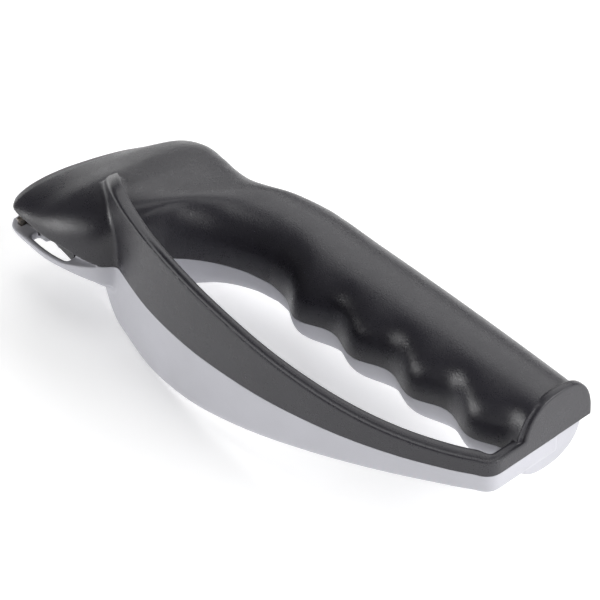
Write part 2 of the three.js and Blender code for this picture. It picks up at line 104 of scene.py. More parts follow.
GUARD_THICKNESS, RAIL_THICKNESS = 3.5, 4.4
GUARD_CREST_X, GUARD_CREST, RAIL_HEIGHT, RAIL_DEPTH = -32.0, 21.5, 4.6, 5.7
GUARD_FALL_LENGTH = 106.0
GUARD_NOSE_X, GUARD_NOSE_LENGTH, GUARD_NOSE_POWER = -54.0, 13.0, 1.7
UPPER_NOSE_DROP, LOWER_NOSE_DROP = 6.2, 8.0
UPPER_GUARD_START = [(GUARD_NOSE_X, -16), (-45, -21.8)]
LOWER_GUARD_START = [(GUARD_NOSE_X - 2, -18), (-46, -22.3)]
GUARD_POINTS = [
    (-36.8, -25.4), (-24, -29.1), (-10.5, -31.2), (2, -31.8), (18, -31),
    (32.5, -28.6), (45, -25.3), (56.5, -21), (67, -15.9), (BUTT_X - 3.6, -12.5),
]

BUTT_RETURN, BUTT_PLATE, BUTT_STEP, BUTT_CORNER = 3.3, 2.2, 0.7, 3.6
CORNER_REACH, CORNER_PULL, LEG_STRAIGHT = 1.35, 0.4, 4.0
BUTT_CENTRE_Y, BUTT_HALF_WIDTH, BUTT_SIDE_STEP = 11.1, 11.4, 1.2
SHELL_SCREWS = [(-36, 4), (-8, 10.5), (30, 10.6), (BUTT_X - 11.6, 10)]

PLATE_LENGTH, PLATE_WIDTH, PLATE_THICKNESS = 9.0, 3.0, 1.2
PLATE_TILT = math.radians(20)
PLATE_FIT, PLATE_GRIP = 0.3, 0.12
PLATE_FRONT_X = NOSE_X + 2.6
PLATE_SPACING = PLATE_THICKNESS + PLATE_FIT
NOTCH_REACH = 2.4
NOTCH_Y = SLOT_BACK_Y - 0.3
CARRIER_DEPTH, CARRIER_WALL, CARRIER_TAIL, CARRIER_HEIGHT = 9.5, 1.3, 3.4, 7.4
CARRIER_FIT, CARRIER_FLOOR, CARRIER_PROUD = 0.3, 0.6, 0.15
CARRIER_LOW = np.array([
    PLATE_FRONT_X - CARRIER_WALL + PLATE_FIT, SLOT_BACK_Y - CARRIER_PROUD, -CARRIER_HEIGHT / 2,
])
CARRIER_HIGH = np.array([
    PLATE_FRONT_X + PLATE_SPACING + PLATE_THICKNESS + CARRIER_TAIL,
    SLOT_BACK_Y - CARRIER_PROUD + CARRIER_DEPTH,
    CARRIER_HEIGHT / 2,
])
CARRIER_SCREW = (CARRIER_HIGH[0] - CARRIER_TAIL / 2, (CARRIER_LOW[1] + CARRIER_HIGH[1]) / 2 + 1)

SCREW_SHANK_R, SCREW_HEAD_R, SCREW_HEAD_HEIGHT = 1.35, 2.7, 1.9
SCREW_LENGTH, SCREW_SEAT_Z, SCREW_FIT, THREAD_FIT = 14.0, -4.6, 0.3, 0.2
BOSS_R = SCREW_HEAD_R + 1.2
SMALL_SHANK_R, SMALL_HEAD_R, SMALL_HEAD_HEIGHT, SMALL_LENGTH = 0.9, 1.7, 1.2, 6.0
SMALL_SEAT_Z = -CARRIER_HEIGHT / 2 - CARRIER_FIT - CARRIER_FLOOR

# Sections from nose to butt: near X, Y, far X, Y, head share, nose share.
SECTIONS = np.array([
    (NOSE_X, -29.4, NOSE_X + 8.8, 9.2, 0, 1),
    (NOSE_X + 2.4, -31.6, NOSE_X + 12, 13.4, 0.15, 0.82),
    (-65, -32.4, -59.4, 17.2, 0.4, 0.52),
    (-57.5, -32.6, -52.8, 18.4, 0.75, 0.2),
    (-50, -31.2, -45.5, 17.4, 1, 0.04),
    (-43, -28, -39, 16.3, 1.04, 0),
    (-38.6, -22, -32.4, 16.3, 1, 0),
    (-34, -13.6, -26, 18.4, 0.66, 0),
    (-27, -7.4, -19.5, 22.1, 0.18, 0),
    (-17.5, -2.8, -12.5, 24, 0, 0),
    (-9.6, -1.2, -6, 24.1, 0, 0),
])

# ---- sizes of the looks only ----

# The grid of the distance fields: its step, the distance from the surface within which the body's
# field is exact, its range in X and Y, its depth, and how far it runs past the parting plane.
VOXEL = 0.27
BAND = 3.6
FIELD_LOW, FIELD_HIGH, FIELD_DEPTH = (-79.0, -35.5), (78.2, 27.0), 23.5
FIELD_MARGIN = 2.0

# Share of the surface's faces that is kept, and a length past the whole object for the cutting pieces.
KEEP_FACES = 0.3
FAR = 60.0

# Steps along the head, along the grip and around, for the outside and for the hollow.
OUTSIDE_STEPS = (110, 240, 128)
HOLLOW_STEPS = (40, 60, 64)
LINE_STEPS, CORNER_STEPS = 240, 12
NEAR_LINE_STEPS, NEAR_LINE_PART = 400, 0.45

# Fillets where the guard meets the body: at the fin, along the rail and by the butt plate, and the
# ranges of X over which one turns into the next.
FIN_FILLET, RAIL_FILLET, END_FILLET = 1.6, 1.0, 0.05
FILLET_X, END_X = (-20.0, 20.0), (BUTT_X - 6.0, BUTT_X - 3.0)

# Rounding of the dark guard's crest on its outer and inner edges, and of its nose.
FIN_ROUND_OUTER, CREST_ROUND_OUTER, FIN_ROUND_X = 1.3, 0.5, (-48.0, -30.0)
CREST_ROUND_INNER, CREST_INNER_X = 1.8, (-44.0, -22.0)
NOSE_ROUND = 1.4

# The fine groove along the crest: its distance from the outer face, and its radius at full depth.
GROOVE_OFFSET, GROOVE_RADIUS, GROOVE_ROUND, GROOVE_X = 0.95, 0.42, 0.25, (-30.0, -14.0)

# Rounding of the light guard's lower edge, and the inner edge's share of it.
SKIRT_ROUND, RAIL_ROUND, SKIRT_X, INNER_SHARE = 3.6, 1.8, (10.0, 60.0), 0.7

# The guard's leg up the butt: how far from the butt it starts, and how softly its thickness changes.
LEG_X, LEG_BLEND = 6.0, 2.0

END_ROUND, BUTT_PLATE_ROUND, SLOT_ROUND = 5.0, 0.5, 0.5
WINDOW_SIDE_ROUND, WINDOW_END_ROUND = 0.6, 1.2
RELIEF_ROUND, ROOT_ROUND = 0.8, 1.5

# Angles in degrees over which an edge is drawn sharp, and bevels in millimetres.
SHELL_SHARP, PART_SHARP = 40, 35
BOX_BEVEL, PLATE_BEVEL = 0.35, 0.12

# Screws: the thread in millimetres with its root as a share of the shank, then shares of the head.
THREAD_START, THREAD_PITCH, THREAD_ROOT = 0.4, 0.9, 0.78
HEAD_RIM, HEAD_ARC = 0.3, 1.3
CROSS_ARM, CROSS_REACH, CROSS_DEPTH = 0.13, 0.56, 0.62

CAMERA_AZIMUTH, CAMERA_ELEVATION = math.radians(47.1), math.radians(40.6)
CAMERA_DISTANCE = 0.836
CAMERA_LENS = 205.9
CAMERA_SENSOR = 36.0

# Soft lights: name, azimuth and elevation in degrees, distance, width and height in metres, radiance.
SOFTBOXES = [
    ("back_light", 112, 40, 1.3, 1.7, 1.05, 1.8),
    ("right_light", 22, 28, 1.1, 0.9, 0.8, 5.5),
    ("left_light", 234, 11, 1.2, 0.8, 0.3, 8.5),
    ("front_light", -38, 24, 1.1, 0.3, 0.22, 7.0),
    ("top_light", 60, 88, 1.4, 0.7, 0.7, 2.2),
]
LIGHT_AIM = Vector((0, 0, 0.02))
STUDIO_AIR = 0.12
FLOOR_SIZE, FLOOR_GAP, FLOOR_GLOW = 6.0, 0.0002, 0.3


# ---- curves ----

def smoothstep(x, low, high):
    t = np.clip((x - low) / (high - low), 0, 1)
    return t * t * (3 - 2 * t)


def lerp(a, b, t):
    return a + (b - a) * t


def spline(points, t, power, clamp_ends=False):
    """Catmull-Rom curve at t in 0 to 1, even in the points' index; power 0.5 is centripetal, 0 even."""
    points = np.asarray(points, float)
    count = len(points)
    at = np.clip(np.asarray(t, float), 0, 1) * (count - 1)
    i = np.minimum(at.astype(int), count - 2)
    w = (at - i)[:, None]
    first = points[0] if clamp_ends else 2 * points[0] - points[1]
    last = points[-1] if clamp_ends else 2 * points[-1] - points[-2]
    padded = np.vstack([first, points, last])
    p0, p1, p2, p3 = padded[i], padded[i + 1], padded[i + 2], padded[i + 3]

    def step(a, b):
        return np.maximum(np.linalg.norm(b - a, axis=1, keepdims=True), 1e-6) ** power

    d0, d1, d2 = step(p0, p1), step(p1, p2), step(p2, p3)
    m1 = d1 * ((p1 - p0) / d0 - (p2 - p0) / (d0 + d1) + (p2 - p1) / d1)
    m2 = d1 * ((p2 - p1) / d1 - (p3 - p1) / (d1 + d2) + (p3 - p2) / d2)
    c2 = 3 * (p2 - p1) - 2 * m1 - m2
    c3 = 2 * (p1 - p2) + m1 + m2
    return p1 + m1 * w + c2 * w**2 + c3 * w**3


def finger_wave(x):
    return -FINGER_DEPTH / 2 * np.cos(2 * np.pi * (x - FIRST_RIDGE_X) / FINGER_PITCH)


def grip_line(x):
    """Y of the grip's near side, without the finger hollows."""
    return GRIP_NEAR_Y + GRIP_NEAR_SLOPE * (x - FIRST_RIDGE_X)


def body_sections(head_steps, grip_steps):
    """Near point, far point, shares and finger wave of every section, from nose to butt."""
    t = np.arange(head_steps) / head_steps
    near = spline(SECTIONS[:, 0:2], t, 0.5)
    far = spline(SECTIONS[:, 2:4], t, 0.5)
    share = spline(SECTIONS[:, 4:6], t, 0)
    share[:, 1] = np.clip(share[:, 1], 0, 1)
    t = np.arange(grip_steps + 1) / grip_steps
    x0, y0, far_x0, far_y0 = SECTIONS[-1, :4]
    x = lerp(x0, BUTT_X, t)
    settle = smoothstep(x, x0, FIRST_RIDGE_X)
    near_y = lerp(y0, grip_line(x), settle)
    wave = np.concatenate([np.zeros(head_steps), finger_wave(x) * settle])
    far_y = lerp(far_y0, BUTT_CENTRE_Y + BUTT_HALF_WIDTH - BUTT_SIDE_STEP, t * t)
    near = np.vstack([near, np.c_[x, near_y]])
    far = np.vstack([far, np.c_[lerp(far_x0, BUTT_X, t), far_y]])
    share = np.vstack([share, np.zeros((grip_steps + 1, 2))])
    return near, far, share, wave


def body_rings(side, head_steps, grip_steps, around, shrink=None):
    """Rings of the body as a whole closed tube, with this side's heights both above and below."""
    near, far, share, wave = body_sections(head_steps, grip_steps)
    head, nose = share[:, 0], share[:, 1]
    grip = GRIP_TOP if side > 0 else GRIP_BOTTOM
    rise = (HEAD_TOP if side > 0 else HEAD_BOTTOM) - grip
    nose_height = NOSE_TOP if side > 0 else NOSE_BOTTOM
    height = lerp(grip + rise * head, nose_height, nose)
    grip_power = TOP_POWER if side > 0 else BOTTOM_POWER
    near_power = lerp(grip_power, NOSE_TOP_POWER if side > 0 else NOSE_BOTTOM_POWER, nose)
    far_power = lerp(grip_power, FAR_POWER, np.clip(head + nose, 0, 1))
    across = far - near
    width = np.linalg.norm(across, axis=1)
    across /= width[:, None]
    if shrink:
        middle = (near[:, 0] + far[:, 0]) / 2
        keep = (middle > shrink["from"]) & (middle < shrink["to"])
        inset = lerp(SLOT_WALL, WALL, smoothstep(middle, SLOT_END_X, HOLLOW_PLAIN_X))
        near = near + across * inset[:, None]
        width = width - inset - WALL
        height = height - WALL
        near, across, width, height, near_power, far_power, head, nose, wave = (
            a[keep] for a in (near, across, width, height, near_power, far_power, head, nose, wave)
        )
    angle = 2 * np.pi * np.arange(around) / around
    c, s = np.cos(angle)[None, :], np.sin(angle)[None, :]
    exponent = 2 / np.where(c > 0, near_power[:, None], far_power[:, None])
    along = 0.5 - 0.5 * np.sign(c) * np.abs(c) ** exponent
    up = height[:, None] * np.sign(s) * np.abs(s) ** exponent
    up *= 1 - HEAD_TILT * head[:, None] * (along - TILT_CENTRE)
    bow = NOSE_BOW * nose[:, None] * (1 - (2 * along - 1) ** 2)
    x = near[:, 0:1] + across[:, 0:1] * width[:, None] * along - bow
    y = near[:, 1:2] + across[:, 1:2] * width[:, None] * along
    y += wave[:, None] * (1 - smoothstep(along, 0, FINGER_REACH))
    return np.stack([x, y, up], axis=2)


def tube_faces(rings, around):
    """Quads of a tube of rings, and the two fans that close its ends."""
    r, k = np.meshgrid(np.arange(rings - 1), np.arange(around), indexing="ij")
    a = r * around + k
    b = r * around + (k + 1) % around
    quads = np.stack([a, a + around, b + around, b], axis=2).reshape(-1, 4)
    k = np.arange(1, around - 1)
    last = (rings - 1) * around
    start = np.stack([0 * k, k, k + 1], axis=1)
    end = np.stack([0 * k + last, last + k + 1, last + k], axis=1)
    return quads, np.vstack([start, end])


# ---- distance fields on a grid of points ----

def smooth_union(a, b, k):
    h = np.clip(0.5 + 0.5 * (b - a) / k, 0, 1)
    return lerp(b, a, h) - k * h * (1 - h)


def smooth_cut(a, b, k):
    """Intersection of two fields with its edge rounded over about k."""
    return -smooth_union(-a, -b, k)


class Grid:
    def __init__(self, low, high):
        self.start = np.floor(np.array(low) / VOXEL).astype(int)
        self.shape = np.ceil(np.array(high) / VOXEL).astype(int) - self.start + 1
        axes = [(self.start[i] + np.arange(self.shape[i])) * VOXEL for i in range(3)]
        self.x = axes[0][:, None, None]
        self.y = axes[1][None, :, None]
        self.z = axes[2][None, None, :]

    def level_set(self, points, quads, triangles):
        transform = vdb.createLinearTransform(voxelSize=VOXEL)
        made = vdb.FloatGrid.createLevelSetFromPolygons(
            points.astype(np.float32), triangles=triangles.astype(np.uint32),
            quads=quads.astype(np.uint32), transform=transform, halfWidth=BAND / VOXEL,
        )
        field = np.empty(self.shape, np.float32)
        made.copyToArray(field, ijk=tuple(int(i) for i in self.start))
        return field

    def surface(self, field):
        """Vertices and quads of the field's zero surface, moved onto it exactly."""
        grid = vdb.FloatGrid(BAND)
        grid.transform = vdb.createLinearTransform(voxelSize=VOXEL)
        grid.copyFromArray(np.clip(field, -BAND, BAND), ijk=tuple(int(i) for i in self.start))
        points, quads = grid.convertToQuads(0.0)
        points = points.astype(float)
        slopes = np.gradient(field, VOXEL)
        for _ in range(3):
            value = self.sample(field, points)
            slope = np.stack([self.sample(s, points) for s in slopes], axis=1)
            length = np.maximum((slope**2).sum(axis=1), 0.1)
            points -= slope * np.clip(value / length, -VOXEL, VOXEL)[:, None]
        return points, quads

    def sample(self, field, points):
        at = points / VOXEL - self.start
        i = np.clip(at.astype(int), 0, self.shape - 2)
        f = at - i
        total = 0
        for dx in (0, 1):
            for dy in (0, 1):
                for dz in (0, 1):
                    weight = 1.0
                    for axis, d in enumerate((dx, dy, dz)):
                        weight = weight * (f[:, axis] if d else 1 - f[:, axis])
                    total = total + weight * field[i[:, 0] + dx, i[:, 1] + dy, i[:, 2] + dz]
        return total


def soften(field, passes):
    for _ in range(passes):
        for axis in range(3):
            a = np.moveaxis(field, axis, 0)
            a[1:-1] = 0.5 * a[1:-1] + 0.25 * (a[:-2] + a[2:])
    return field


# ---- the guard as a field ----

def guard_height(x, side):
    fall = np.clip((x - GUARD_CREST_X) / GUARD_FALL_LENGTH, 0, 1)
    ahead = np.maximum(0, (GUARD_NOSE_X + GUARD_NOSE_LENGTH - x) / GUARD_NOSE_LENGTH)
    rail = RAIL_HEIGHT if side > 0 else RAIL_DEPTH
    high = lerp(rail, GUARD_CREST, 0.5 + 0.5 * np.cos(np.pi * fall))
    drop = UPPER_NOSE_DROP if side > 0 else LOWER_NOSE_DROP
    return np.where(x > GUARD_CREST_X, high, GUARD_CREST - drop * ahead**GUARD_NOSE_POWER)


def guard_line(side):
    """The outer line of the guard in plan: along the blade side, round the corner, up the butt."""
    start = UPPER_GUARD_START if side > 0 else LOWER_GUARD_START
    line = spline(start + GUARD_POINTS, np.arange(LINE_STEPS + 1) / LINE_STEPS, 0, clamp_ends=True)
    corner_y = line[-1, 1] + BUTT_CORNER * CORNER_REACH
    pull = np.array([BUTT_X, line[-1, 1] + BUTT_CORNER * CORNER_PULL])
    t = (np.arange(1, CORNER_STEPS + 1) / CORNER_STEPS)[:, None]
    corner = (1 - t) ** 2 * line[-1] + 2 * t * (1 - t) * pull + t**2 * np.array([BUTT_X, corner_y])
    leg = np.array([[BUTT_X, corner_y + LEG_STRAIGHT], [BUTT_X, BUTT_CENTRE_Y]])
    return np.vstack([line, corner, leg])


def plan_offsets(grid, side):
    """Signed distance inwards from the guard's outer line, for every X and Y of the grid."""
    line = guard_line(side)
    a, b = line[:-1], line[1:]
    ab = b - a
    length2 = (ab**2).sum(axis=1)
    x, y = np.meshgrid(grid.x.ravel(), grid.y.ravel(), indexing="ij")
    best = np.full(x.shape, 1e9)
    offset = np.full(x.shape, 1e9)
    for i in range(len(a)):
        px, py = x - a[i, 0], y - a[i, 1]
        t = np.clip((px * ab[i, 0] + py * ab[i, 1]) / length2[i], 0, 1)
        dx, dy = px - t * ab[i, 0], py - t * ab[i, 1]
        d = dx * dx + dy * dy
        turn = ab[i, 0] * py - ab[i, 1] * px
        closer = d < best
        best = np.where(closer, d, best)
        offset = np.where(closer, np.sqrt(d) * np.sign(turn), offset)
    return offset


def guard_field(grid, side):
    x, y, z = grid.x, grid.y, grid.z
    inwards = plan_offsets(grid, side)[:, :, None]
    thickness = lerp(GUARD_THICKNESS, RAIL_THICKNESS, smoothstep(x, 0, BUTT_X))
    leg_y = GUARD_POINTS[-1][1] + BUTT_CORNER * CORNER_REACH
    on_leg = smoothstep(y - leg_y, -LEG_BLEND, 0) * (x > BUTT_X - LEG_X)
    thickness = lerp(thickness, BUTT_RETURN, on_leg)
    height = guard_height(x, side)
    slope = np.gradient(height.ravel(), VOXEL)[:, None, None]
    top = (side * z - height) / np.sqrt(1 + slope**2)
    below = -side * z - FIELD_MARGIN
    outer = -inwards
    inner = inwards - thickness
    if side > 0:
        outer_round = lerp(FIN_ROUND_OUTER, CREST_ROUND_OUTER, smoothstep(x, *FIN_ROUND_X))
        inner_round = lerp(CREST_ROUND_OUTER, CREST_ROUND_INNER, smoothstep(x, *CREST_INNER_X))
    else:
        outer_round = lerp(SKIRT_ROUND, RAIL_ROUND, smoothstep(x, *SKIRT_X))
        inner_round = outer_round * INNER_SHARE
    start, ahead = guard_line(side)[:2]
    ahead = (ahead - start) / np.linalg.norm(ahead - start)
    front = (start[0] - x) * ahead[0] + (start[1] - y) * ahead[1]
    field = smooth_cut(top, front, NOSE_ROUND)
    field = smooth_cut(field, outer, outer_round)
    field = smooth_cut(field, inner, inner_round)
    if side > 0:
        radius = GROOVE_RADIUS * smoothstep(x, *GROOVE_X)
        groove = np.hypot(inwards - GROOVE_OFFSET, top) - radius
        field = smooth_cut(field, -groove, GROOVE_ROUND)
    field = np.maximum(field, below)
    return np.maximum(field, y - BUTT_CENTRE_Y)


# ---- the rest of each shell's outside ----

def butt_plate_field(grid):
    x, y, z = grid.x, grid.y, grid.z
    u = np.abs(y - BUTT_CENTRE_Y) / BUTT_HALF_WIDTH
    v = np.abs(z) / (GRIP_TOP + BUTT_STEP)
    power = TOP_POWER
    level = (u**power + v**power) ** (1 / power)
    slope = np.sqrt(
        (u ** (power - 1) / BUTT_HALF_WIDTH) ** 2 + (v ** (power - 1) / (GRIP_TOP + BUTT_STEP)) ** 2
    ) / np.maximum(level, 1e-3) ** (power - 1)
    outline = (level - 1) / np.maximum(slope, 1e-2)
    middle = BUTT_X - BUTT_PLATE / 2
    return smooth_cut(outline, np.abs(x - middle) - BUTT_PLATE / 2, BUTT_PLATE_ROUND)


def near_line_y(x):
    """Y of the body's near line above every X, as far as the line still runs to the butt."""
    near = spline(SECTIONS[:, 0:2], np.arange(NEAR_LINE_STEPS + 1) / NEAR_LINE_STEPS, 0.5)
    front = near[: int(NEAR_LINE_STEPS * NEAR_LINE_PART)]
    return np.interp(x.ravel(), front[:, 0], front[:, 1])[:, None, None]


def slot_field(grid):
    x, y, z = grid.x, grid.y, grid.z
    ramp = np.clip((SLOT_END_X - x) / (SLOT_END_X - SLOT_RAMP_X), -1, 1)
    return smooth_cut(np.abs(z) - SLOT_HEIGHT / 2 * ramp, y - SLOT_BACK_Y, SLOT_ROUND)


def window_field(grid):
    x, y = grid.x, grid.y
    back = lerp(SLOT_BACK_Y, WINDOW_BACK_Y, np.clip((x - WINDOW_STEP_X) / WINDOW_STEP, 0, 1))
    across = smooth_cut(near_line_y(x) + RIM_WIDTH - y, y - back, WINDOW_SIDE_ROUND)
    along = np.maximum(WINDOW_FRONT_X - x, x - SLOT_RAMP_X)
    return smooth_cut(across, along, WINDOW_END_ROUND) + 0 * grid.z


def relief_field(grid):
    x, y, z = grid.x, grid.y, grid.z
    rim_bottom = -SLOT_HEIGHT / 2 - RIM_DEPTH
    lean = math.hypot(1, RELIEF_SLOPE)
    behind = (RELIEF_SLOPE * (y - SLOT_BACK_Y - RELIEF_SETBACK) - (z - rim_bottom)) / lean
    root = rim_bottom - ROOT_DEPTH * np.clip((x - SLOT_RAMP_X) / (SLOT_END_X - SLOT_RAMP_X), 0, 1)
    under = smooth_cut(z - root, x - RELIEF_END_X, ROOT_ROUND)
    return smooth_cut(behind, under, RELIEF_ROUND)


def outside_field(grid, side):
    rings = body_rings(side, *OUTSIDE_STEPS)
    quads, ends = tube_faces(rings.shape[0], rings.shape[1])
    body = grid.level_set(rings.reshape(-1, 3), quads, ends)
    guard = guard_field(grid, side).astype(np.float32)
    slot = slot_field(grid)
    if side > 0:
        body = np.maximum(body, grid.x - BUTT_X + BUTT_PLATE / 2)
        body = smooth_cut(body, -slot, SLOT_ROUND)
    else:
        body = smooth_cut(body, grid.x - BUTT_X, END_ROUND)
        for cut in (slot, window_field(grid), relief_field(grid)):
            body = smooth_cut(body, -cut, SLOT_ROUND)
    fillet = lerp(FIN_FILLET, RAIL_FILLET, smoothstep(grid.x, *FILLET_X))
    fillet = lerp(fillet, END_FILLET, smoothstep(grid.x, *END_X))
    field = smooth_union(body, guard, fillet)
    if side > 0:
        field = np.minimum(field, butt_plate_field(grid))
    return soften(field.astype(np.float32), 1)


# ---- from millimetres in the design frame to pieces in the CAD frame ----

def design_shift():
    """What is added to a design point to reach the CAD frame: the first screw's axis gives X and Y,
    and the middle of the CAD model's height is the parting plane."""
    low, high = (np.array(p) * 1000 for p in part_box("shell_screw_1"))
    axis = (low + high) / 2 - np.array([*SHELL_SCREWS[0], 0])
    parting = (cad_box[0][2] + cad_box[1][2]) / 2 * 1000
    return np.array([axis[0], axis[1], parting])


SHIFT = design_shift()


def place(points):
    return (np.asarray(points) + SHIFT) / 1000


def new_piece(name, points, faces, material):
    mesh = bpy.data.meshes.new(name)
    mesh.from_pydata([tuple(p) for p in place(points)], [], [tuple(int(i) for i in f) for f in faces])
    mesh.materials.append(material)
    piece = bpy.data.objects.new(name, mesh)
    bpy.context.scene.collection.objects.link(piece)
    return piece


def apply_modifiers(piece):
    bpy.context.view_layer.update()
    graph = bpy.context.evaluated_depsgraph_get()
    made = bpy.data.meshes.new_from_object(piece.evaluated_get(graph))
    old = piece.data
    piece.modifiers.clear()
    piece.data = made
    bpy.data.meshes.remove(old)


def combine(piece, other, operation):
    """Joins, cuts or intersects with another closed piece, which is then removed."""
    modifier = piece.modifiers.new("combine", "BOOLEAN")
    modifier.operation = operation
    modifier.solver = "MANIFOLD"
    modifier.object = other
    apply_modifiers(piece)
    mesh = other.data
    bpy.data.objects.remove(other)
    bpy.data.meshes.remove(mesh)


def smooth_shade(piece, angle):
    piece.data.shade_smooth()
    piece.data.set_sharp_from_angle(angle=math.radians(angle))


def box_piece(name, low, high, material):
    corners = [(x, y, z) for x in (low[0], high[0]) for y in (low[1], high[1]) for z in (low[2], high[2])]
    faces = [(0, 1, 3, 2), (4, 6, 7, 5), (0, 4, 5, 1), (2, 3, 7, 6), (0, 2, 6, 4), (1, 5, 7, 3)]
    return new_piece(name, corners, faces, material)


def lathe_piece(name, profile, centre, material, sides=48):
    """A closed solid turned about Z from radius and height pairs that start and end on the axis."""
    angle = 2 * np.pi * np.arange(sides) / sides
    points = [(0, 0, profile[0][1])]
    for r, z in profile[1:-1]:
        points += [(r * math.cos(a), r * math.sin(a), z) for a in angle]
    points.append((0, 0, profile[-1][1]))
    rings = len(profile) - 2
    faces = []
    for k in range(sides):
        n = (k + 1) % sides
        faces.append((0, 1 + n, 1 + k))
        for r in range(rings - 1):
            a = 1 + r * sides
            faces.append((a + k, a + n, a + sides + n, a + sides + k))
        last = 1 + (rings - 1) * sides
        faces.append((last + k, last + n, len(points) - 1))
    return new_piece(name, np.array(points) + np.array(centre), faces, material)


# ---- materials ----

def new_material(name):
    material = bpy.data.materials.new(name)
    material.use_nodes = True
    tree = material.node_tree
    shader = tree.nodes["Principled BSDF"]
    place_in = tree.nodes.new("ShaderNodeTexCoord")
    return material, tree, shader, place_in.outputs["Object"]


def noise(tree, vector, scale, detail=2.0, rough=0.5):
    node = tree.nodes.new("ShaderNodeTexNoise")
    node.inputs["Scale"].default_value = scale
    node.inputs["Detail"].default_value = detail
    node.inputs["Roughness"].default_value = rough
    tree.links.new(vector, node.inputs["Vector"])
    return node.outputs["Fac"]


def remap(tree, value, low, high, out_low, out_high):
    node = tree.nodes.new("ShaderNodeMapRange")
    for socket, number in zip(("From Min", "From Max", "To Min", "To Max"), (low, high, out_low, out_high)):
        node.inputs[socket].default_value = number
    tree.links.new(value, node.inputs["Value"])
    return node.outputs["Result"]


def ramp(tree, value, stops):
    node = tree.nodes.new("ShaderNodeValToRGB")
    elements = node.color_ramp.elements
    while len(elements) < len(stops):
        elements.new(0.5)
    for element, (at, colour) in zip(elements, stops):
        element.position = at
        element.color = (*colour, 1)
    tree.links.new(value, node.inputs["Fac"])
    return node.outputs["Color"]


def maths(tree, a, b, operation="ADD"):
    node = tree.nodes.new("ShaderNodeMath")
    node.operation = operation
    tree.links.new(a, node.inputs[0])
    tree.links.new(b, node.inputs[1])
    return node.outputs[0]


def bump(tree, shader, height, distance, strength=1.0):
    node = tree.nodes.new("ShaderNodeBump")
    node.inputs["Distance"].default_value = distance
    node.inputs["Strength"].default_value = strength
    tree.links.new(height, node.inputs["Height"])
    tree.links.new(node.outputs["Normal"], shader.inputs["Normal"])


def moulded_plastic(name, dark, light, roughness, grain_scale, grain_depth, specular):
    """Satin moulded plastic: spark-eroded grain, faint handling marks and uneven sheen."""
    material, tree, shader, at = new_material(name)
    blotch = noise(tree, at, 60, 3)
    fine = noise(tree, at, grain_scale, 2, 0.6)
    handled = noise(tree, at, 260, 4, 0.65)
    tint = ramp(tree, blotch, [(0.3, dark), (0.7, light)])
    tree.links.new(tint, shader.inputs["Base Color"])
    sheen = remap(tree, handled, 0.3, 0.7, roughness - 0.04, roughness + 0.04)
    sparkle = remap(tree, fine, 0.3, 0.7, -0.05, 0.05)
    tree.links.new(maths(tree, sheen, sparkle), shader.inputs["Roughness"])
    shader.inputs["Specular IOR Level"].default_value = specular
    bump(tree, shader, fine, grain_depth)
    return material


def ground_metal(name, dark, light, roughness, streak):
    """Metal with grinding or plating marks, drawn out along the axis where streak is smallest."""
    material, tree, shader, at = new_material(name)
    stretch = tree.nodes.new("ShaderNodeMapping")
    stretch.inputs["Scale"].default_value = streak
    tree.links.new(at, stretch.inputs["Vector"])
    lines = noise(tree, stretch.outputs["Vector"], 900, 3, 0.6)
    patches = noise(tree, at, 500, 2)
    tint = ramp(tree, maths(tree, lines, patches, "MULTIPLY"), [(0.15, dark), (0.4, light)])
    tree.links.new(tint, shader.inputs["Base Color"])
    sheen = remap(tree, lines, 0.3, 0.7, roughness - 0.08, roughness + 0.1)
    tree.links.new(sheen, shader.inputs["Roughness"])
    shader.inputs["Metallic"].default_value = 1.0
    bump(tree, shader, lines, 0.00002)
    return material


CHARCOAL = moulded_plastic(
    "charcoal_plastic", dark=(0.0155, 0.0145, 0.0195), light=(0.0195, 0.0185, 0.0240),
    roughness=0.31, grain_scale=3300, grain_depth=0.00006, specular=0.5,
)
LIGHT_GREY = moulded_plastic(
    "light_grey_plastic", dark=(0.43, 0.43, 0.465), light=(0.465, 0.465, 0.505),
    roughness=0.42, grain_scale=3000, grain_depth=0.00004, specular=0.5,
)
BLACK = moulded_plastic(
    "black_plastic", dark=(0.012, 0.012, 0.014), light=(0.018, 0.018, 0.02),
    roughness=0.5, grain_scale=2600, grain_depth=0.00002, specular=0.4,
)
CARBIDE = ground_metal(
    "carbide", dark=(0.30, 0.27, 0.24), light=(0.62, 0.57, 0.50), roughness=0.36, streak=(2, 0.12, 2)
)
STEEL = ground_metal(
    "screw_steel", dark=(0.42, 0.42, 0.43), light=(0.62, 0.62, 0.63), roughness=0.30, streak=(1, 1, 0.2)
)


# ---- the two shells ----

def rod(radius, x, y, z0, z1, material, sides=40):
    return lathe_piece("rod", [(0, z0), (radius, z0), (radius, z1), (0, z1)], (x, y, 0), material, sides)


def turned_box(name, side, grow, material):
    """A carbide plate's box, tilted about the notch line."""
    x0 = PLATE_FRONT_X + (PLATE_SPACING if side > 0 else 0)
    z0, z1 = (0, PLATE_WIDTH) if side > 0 else (-PLATE_WIDTH, 0)
    low = np.array([x0, -NOTCH_REACH, z0]) - grow
    high = np.array([x0 + PLATE_THICKNESS, PLATE_LENGTH - NOTCH_REACH, z1]) + grow
    piece = box_piece(name, low, high, material)
    turn = Matrix.Rotation(-side * PLATE_TILT, 4, "X")
    home = Matrix.Translation(Vector(SHIFT / 1000))
    up = Matrix.Translation(Vector((0, NOTCH_Y / 1000, 0)))
    piece.data.transform(home @ up @ turn @ home.inverted())
    return piece


def hollow_piece(side, material):
    limits = {"from": HOLLOW_FRONT_X, "to": BUTT_X - BUTT_RETURN - WALL / 2}
    rings = body_rings(side, *HOLLOW_STEPS, limits)
    quads, ends = tube_faces(rings.shape[0], rings.shape[1])
    piece = new_piece("hollow", rings.reshape(-1, 3), [*quads, *ends], material)
    for x, y in SHELL_SCREWS:
        combine(piece, rod(BOSS_R, x, y, -FAR, FAR, material), "DIFFERENCE")
    return piece


